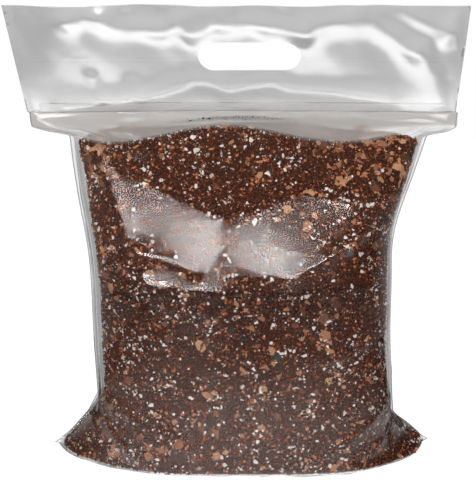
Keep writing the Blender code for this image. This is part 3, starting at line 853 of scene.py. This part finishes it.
def grain_look(name, stops, roughness, scale, strength):
    """A grain's finish: its own tone sets its colour, and fine noise mottles it."""
    look, nodes, links, shader = new_look(name)
    tone = nodes.new("ShaderNodeAttribute")
    tone.attribute_name = "tone"
    mottle = noise_node(nodes, links, scale)
    offset = worked_out(nodes, links, "SUBTRACT", tone.outputs["Fac"], 0.22)
    mixed = worked_out(nodes, links, "MULTIPLY_ADD", mottle.outputs["Fac"], 0.45, offset)
    colours = ramp(nodes, stops)
    links.new(mixed, colours.inputs["Fac"])
    links.new(colours.outputs["Color"], shader.inputs["Base Color"])
    shader.inputs["Roughness"].default_value = roughness
    shader.inputs["Specular IOR Level"].default_value = 0.12
    add_bump(nodes, links, [shader], mottle.outputs["Fac"], strength, 0.0006)
    return look


def under_zip_haze(nodes, links, haze):
    """How milky the film is: a little everywhere, and more above an arc under the zip, from clinging dust."""
    parts = place_parts(nodes, links, "Object")
    turn = worked_out(nodes, links, "MULTIPLY_ADD", parts["X"], 2 * math.pi / HAZE_WAVE,
                      2 * math.pi * HAZE_CREST / HAZE_WAVE)
    wave = worked_out(nodes, links, "COSINE", turn)
    height = worked_out(nodes, links, "MULTIPLY_ADD", wave, -HAZE_SWING, parts["Z"])
    return ranged(nodes, links, height, (HAZE_FOOT, HAZE_FOOT + HAZE_FADE), (haze, UNDER_ZIP_HAZE))


def tint_with_painted_highlight(nodes, links, at_zip, above):
    """The header's tint, with a painted highlight: clearer just above the zip, which lightens a band of the
    header there.
    """
    height = place_parts(nodes, links, "Object")["Z"]
    return ranged(nodes, links, height, (ZIP_HEIGHT, ZIP_HEIGHT + PAINTED_HIGHLIGHT_RISE), (at_zip, above))


def clear_film(name, tint, grazing_tint, haze, gloss_share, roughness, crinkle):
    """Clear film: see-through with a grey tint, glossy by how it faces the view, and a little milky.

    A tint or a haze is a plain value, or a function that makes a socket from the nodes and links. Film whose
    haze is a function is dusty. The crinkle is its size and its strength.
    """
    look, nodes, links, shader = new_look(name)
    nodes.remove(shader)
    facing = facing_node(nodes)
    dusty = callable(haze)
    clear = nodes.new("ShaderNodeBsdfTransparent")
    here = tint(nodes, links) if callable(tint) else tint
    links.new(ranged(nodes, links, facing.outputs["Facing"], (0.0, 1.0), (here, grazing_tint), "LINEAR"),
              clear.inputs["Color"])
    milk = nodes.new("ShaderNodeBsdfDiffuse")
    milk.inputs["Color"].default_value = DUST_COLOUR if dusty else MILK_COLOUR
    gloss = nodes.new("ShaderNodeBsdfGlossy")
    gloss.inputs["Color"].default_value = (1.0, 1.0, 1.0, 1.0)
    gloss.inputs["Roughness"].default_value = roughness
    body = blend(nodes, links, haze(nodes, links) if dusty else haze, clear.outputs[0], milk.outputs[0])
    steep = worked_out(nodes, links, "POWER", facing.outputs["Facing"], GRAZING_POWER)
    share = worked_out(nodes, links, "MULTIPLY_ADD", steep, GRAZING_GLOSS, gloss_share)
    whole = blend(nodes, links, share, body, gloss.outputs[0])
    links.new(whole, nodes["Material Output"].inputs["Surface"])
    size, strength = crinkle
    bumps = noise_node(nodes, links, size, 3.0, 0.55)
    add_bump(nodes, links, (gloss, facing), bumps.outputs["Fac"], strength, CRINKLE_DEPTH)
    return look


def skin_look():
    """The film over the compost, dusty under the zip."""
    return clear_film("film_clear", 0.95, 0.32, lambda nodes, links: under_zip_haze(nodes, links, 0.001),
                      0.008, 0.11, (60.0, 0.45))


def header_look():
    """The header's doubled film, a little greyer, and clearer just above the zip as a painted highlight."""
    return clear_film("film_doubled", lambda nodes, links: tint_with_painted_highlight(nodes, links, 0.87, 0.70), 0.40,
                      0.010, 0.055, 0.18, (70.0, 0.20))


def zip_look():
    """The milky plastic of the zip strips."""
    return clear_film("zip_plastic", 0.98, 0.90, 0.740, 0.045, 0.20, (60.0, 0.10))


# Where the grains lie

def everywhere(place):
    """The same weight at every place."""
    return np.ones(len(place))


def clear_of_ears(place):
    """A weight that keeps large chips out of the thin tips of the bottom ears."""
    return np.where((np.abs(place[:, 0]) > EAR_FROM) & (place[:, 2] < HEEL_HEIGHT), 0.0, 1.0)


def patchy(place, size, low, high):
    """A weight that drifts over the compost in patches of a size, from its noise between low and high."""
    drift = np.array([lump(p + np.array([0.5, 0.3, 0.1]), size) for p in place])
    return smooth((drift - low) / (high - low))


def perlite_places(place):
    """Perlite lies in drifts, with few grains at the dark top corners."""
    corner = bell(place[:, 0], 0.120, 0.045) * bell(place[:, 2], 0.310, 0.030)
    return (0.28 + 0.72 * patchy(place, 0.022, -0.15, 0.50)) * (1 - 0.7 * corner)


def bark_places(place):
    """Chips lie densest at the top corners and in a few patches on the front."""
    x, y, height = place.T
    weight = 0.05 + 0.16 * patchy(place, 0.030, -0.1, 0.4)
    weight += 0.95 * bell(x, 0.118, 0.042) * bell(height, 0.312, 0.028)
    weight += 0.8 * bell(x, -0.138, 0.022) * bell(height, 0.312, 0.022)
    for patch_x, patch_z in BARK_PATCHES:
        weight += 0.35 * bell(x, patch_x, 0.016) * bell(height, patch_z, 0.014)
    return np.clip(weight, 0, 1) * clear_of_ears(place)


def clinging_places(count):
    """Places just inside the front film, where crumbs cling in a thin band under the zip."""
    front = points[:, :points.shape[1] // 2 + 1].reshape(-1, 3)
    front = front[front[:, 2] > SHOULDER_HEIGHT]
    x = rng.normal(CLINGING_MIDDLE, CLINGING_REACH, count)
    height = CLINGING_HEIGHT - CLINGING_ARC * ((x - CLINGING_MIDDLE) / CLINGING_REACH) ** 2
    height += rng.normal(0, CLINGING_BAND, count)
    away = (front[None, :, 0] - x[:, None]) ** 2 + (front[None, :, 2] - height[:, None]) ** 2
    nearest = front[np.argmin(away, axis=1)]
    place = np.stack([x, nearest[:, 1] + GRAIN_PROUD + CLINGING_INSIDE, height], axis=1)
    return place, np.tile([0.0, -1.0, 0.0], (count, 1))


def spread(count, low, high, power=2.0):
    """Sizes between low and high, of which the small ones are the most common."""
    return low + (high - low) * rng.random(count) ** power


def add_kind(name, grain, places, widths, lengths, flatness, rough, lean, sunk, look):
    """One kind of grain at the given places, with its range of widths and of length by width."""
    place, outward = places
    width = spread(len(place), *widths)
    sizes = np.stack([width * rng.uniform(*lengths, len(place)), width, width * flatness], axis=1)
    grains(name, grain, place, outward, sizes, rough, lean, sunk, look)


def add_grains():
    """Every kind of loose grain: coir crumbs, perlite, bark, charcoal and the crumbs under the zip."""
    solid, chip = solid_grain(), chip_grain()
    # The coir crumbs' darkest tones are their own damp brown, deepened as painted shade between the grains.
    coir = grain_look("coir_crumbs", [(0.0, (0.002, 0.001, 0.0005)), (0.40, (0.036, 0.008, 0.002)),
                                      (0.70, (0.420, 0.090, 0.018)), (1.0, (0.700, 0.250, 0.080))],
                      0.9, 900.0, 0.5)
    perlite = grain_look("perlite", [(0.0, (0.42, 0.31, 0.22)), (0.35, (0.77, 0.71, 0.64)),
                                     (1.0, (0.96, 0.94, 0.91))], 0.8, 1400.0, 0.4)
    bark = grain_look("bark_chips", [(0.0, (0.025, 0.009, 0.004)), (0.30, (0.150, 0.052, 0.020)),
                                     (0.65, (0.400, 0.170, 0.075)), (1.0, (0.600, 0.320, 0.160))],
                      0.75, 500.0, 0.6)
    charcoal = grain_look("charcoal", [(0.0, (0.008, 0.008, 0.009)), (1.0, (0.030, 0.029, 0.030))],
                          0.6, 500.0, 0.6)
    for half in ("a", "b"):
        add_kind("coir_crumbs_" + half, solid, scatter(core, side_faces, CRUMB_COUNT, everywhere),
                 (0.0005, 0.0017), (1.0, 1.9), 0.7, 0.25, 0.7, 0.0012, coir)
    add_kind("perlite_grains", solid, scatter(core, side_faces, PERLITE_COUNT, perlite_places),
             (0.00035, 0.0025, 4.5), (1.0, 1.5), 0.8, 0.65, 0.9, 0.0004, perlite)
    add_kind("bark_chips", chip, scatter(core, side_faces, BARK_COUNT, bark_places),
             (0.0022, 0.0062, 1.3), (0.9, 1.5), 0.22, 0.34, 0.30, 0.0008, bark)
    add_kind("charcoal_chips", chip, scatter(core, side_faces, CHARCOAL_COUNT, clear_of_ears),
             (0.0025, 0.0060, 1.6), (0.9, 1.4), 0.4, 0.25, 0.3, 0.0006, charcoal)
    add_kind("clinging_crumbs", solid, clinging_places(CLINGING_COUNT),
             (0.0005, 0.0016), (1.0, 1.9), 0.7, 0.3, 0.7, 0.0004, charcoal)


# The floor, the world, the lamps and the camera

def seen_directly(nodes, links):
    """A value of 1 for what the camera sees, also in reflections and through film, and 0 for other light."""
    path = nodes.new("ShaderNodeLightPath")
    seen = path.outputs["Is Camera Ray"]
    for other in ("Is Glossy Ray", "Is Transmission Ray"):
        seen = worked_out(nodes, links, "MAXIMUM", seen, path.outputs[other])
    return seen, path.outputs["Is Glossy Ray"]


def pale_floor():
    """A floor that shows as white where it is seen, and keeps part of its shading for the bag's shadow."""
    look, nodes, links, shader = new_look("pale_floor")
    shader.inputs["Base Color"].default_value = (0.8, 0.8, 0.8, 1.0)
    shader.inputs["Roughness"].default_value = 1.0
    faint = nodes.new("ShaderNodeBsdfDiffuse")
    faint.inputs["Color"].default_value = (FLOOR_SHADED, FLOOR_SHADED, FLOOR_SHADED, 1.0)
    glow = nodes.new("ShaderNodeEmission")
    glow.inputs["Strength"].default_value = 1 - FLOOR_SHADED * WORLD_LEVEL
    both = nodes.new("ShaderNodeAddShader")
    links.new(faint.outputs[0], both.inputs[0])
    links.new(glow.outputs[0], both.inputs[1])
    mixed = blend(nodes, links, seen_directly(nodes, links)[0], shader.outputs[0], both.outputs[0])
    links.new(mixed, nodes["Material Output"].inputs["Surface"])
    return look


def flat_sheet(name, across, deep, look):
    """A flat sheet around its own origin, not linked to the scene yet."""
    data = bpy.data.meshes.new(name)
    corners = [(-across, -deep, 0), (across, -deep, 0), (across, deep, 0), (-across, deep, 0)]
    data.from_pydata(corners, [], [(0, 1, 2, 3)])
    data.materials.append(look)
    return bpy.data.objects.new(name, data)


def make_floor():
    """The floor under the bag."""
    floor = flat_sheet("floor", FLOOR_REACH, FLOOR_REACH, pale_floor())
    bpy.context.collection.objects.link(floor)


def mixed_value(nodes, links, share, first, second):
    """A value between two others."""
    made = nodes.new("ShaderNodeMix")
    made.data_type = "FLOAT"
    for name, source in zip(("Factor", "A", "B"), (share, first, second)):
        feed(links, made.inputs[name], source)
    return made.outputs["Result"]


def make_world():
    """A world that shows as white behind the bag, lights it softly, and mirrors as white near the horizon."""
    world = bpy.data.worlds.new("studio")
    bpy.context.scene.world = world
    world.use_nodes = True
    nodes, links = world.node_tree.nodes, world.node_tree.links
    seen, mirrored = seen_directly(nodes, links)
    plain = mixed_value(nodes, links, seen, WORLD_LEVEL, 1.0)
    height = place_parts(nodes, links, "Generated")["Z"]
    fall = ranged(nodes, links, height, (0.0, WORLD_HORIZON), (1.0, WORLD_HIGH_LEVEL))
    background = nodes["Background"]
    links.new(mixed_value(nodes, links, mirrored, plain, fall), background.inputs["Strength"])
    background.inputs["Color"].default_value = (1.0, 1.0, 1.0, 1.0)


def aimed(made, place, aim):
    """Puts a lamp or a card at its place, facing its aim."""
    made.location = place
    made.rotation_euler = (Vector(aim) - Vector(place)).to_track_quat("-Z", "Y").to_euler()
    bpy.context.collection.objects.link(made)


def soft_box(name, place, aim, width, height, radiance):
    """A rectangular lamp that lights the bag but doesn't mirror in its film."""
    light = bpy.data.lights.new(name, "AREA")
    light.shape = "RECTANGLE"
    light.size = width
    light.size_y = height
    light.energy = radiance * math.pi * width * height
    lamp = bpy.data.objects.new(name, light)
    lamp.visible_glossy = False
    aimed(lamp, place, aim)


def card_look(name, level, softness, steepness):
    """A one-sided glow that fades towards the card's edges and, by its steepness, at grazing angles."""
    look, nodes, links, shader = new_look(name)
    nodes.remove(shader)
    parts = place_parts(nodes, links, "Generated")
    strength = level
    for axis in ("X", "Y"):
        from_edge = worked_out(nodes, links, "PINGPONG", parts[axis], 0.5)
        fade = ranged(nodes, links, from_edge, (0.0, softness), (0.0, 1.0))
        strength = worked_out(nodes, links, "MULTIPLY", strength, fade)
    lit_side = nodes.new("ShaderNodeNewGeometry").outputs["Backfacing"]
    strength = worked_out(nodes, links, "MULTIPLY", strength, lit_side)
    square_on = worked_out(nodes, links, "SUBTRACT", 1.0, facing_node(nodes).outputs["Facing"])
    falling = worked_out(nodes, links, "POWER", square_on, steepness)
    glow = nodes.new("ShaderNodeEmission")
    links.new(worked_out(nodes, links, "MULTIPLY", strength, falling), glow.inputs["Strength"])
    links.new(glow.outputs[0], nodes["Material Output"].inputs["Surface"])
    return look


def card(name, place, aim, width, height, level, softness, steepness=0.0):
    """A glowing card that only shows mirrored in the film."""
    made = flat_sheet(name, width / 2, height / 2, card_look(name, level, softness, steepness))
    made.visible_camera = False
    made.visible_diffuse = False
    made.visible_transmission = False
    made.visible_shadow = False
    aimed(made, place, aim)


def make_camera():
    """The camera of the photo: a little above the bag, looking at its front."""
    data = bpy.data.cameras.new("camera")
    data.sensor_fit = "VERTICAL"
    data.sensor_height = SENSOR_HEIGHT
    data.lens = SENSOR_HEIGHT * FOCAL_HEIGHTS
    camera = bpy.data.objects.new("camera", data)
    outward = Vector((0, -math.cos(CAMERA_LIFT), math.sin(CAMERA_LIFT)))
    camera.location = CAMERA_FOCUS + outward * CAMERA_DISTANCE
    camera.rotation_euler = (math.radians(90) - CAMERA_LIFT, 0, 0)
    bpy.context.collection.objects.link(camera)
    bpy.context.scene.camera = camera


# Making the pieces

points = drape_film()
shift = shift_to_frame()
film = add_piece("film_skin", points + shift, grid_faces(*points.shape[:2]), skin_look())
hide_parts("film_bag")
make_header(header_look())
strip_look = zip_look()
for strip in ("zip_rib_strip", "zip_groove_strip"):
    zip_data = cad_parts[strip].data
    zip_data.materials.clear()
    zip_data.materials.append(strip_look)

core = lumpy(core_points())
core_piece = add_piece("compost_core", core + shift, core_faces(*core.shape[:2]), compost_look())
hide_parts("compost_fill")
side_faces = grid_faces(*core.shape[:2])
add_grains()

# Setting the stage

make_floor()
make_world()
soft_box("key_lamp", (-0.50, -1.10, 1.20), (0, 0, 0.2), 0.7, 0.5, 8.5)
soft_box("fill_lamp", (0.80, -0.90, 0.95), (0, 0, 0.2), 0.5, 0.6, 4.5)
soft_box("top_lamp", (0.0, 0.10, 1.50), (0, 0, 0.2), 0.9, 0.6, 2.8)
card("front_card", (-0.33, -1.20, 0.60), (0, 0, 0.30), 2.6, 1.20, 60.0, 0.40)
card("roof_card", (0.0, 0.20, 1.25), (0, 0, 0.35), 1.6, 0.9, 14.0, 0.3)
card("header_card", (0.0, -0.118, 0.20), (0, -0.118, 1.0), 0.66, 0.10, 11.0, 0.25, steepness=3.0)
card("foot_card", (0.0, -0.160, 0.002), (0, -0.160, 1.0), 0.80, 0.50, 7.0, 0.5)
make_camera()
bpy.context.scene.view_settings.view_transform = "Standard"
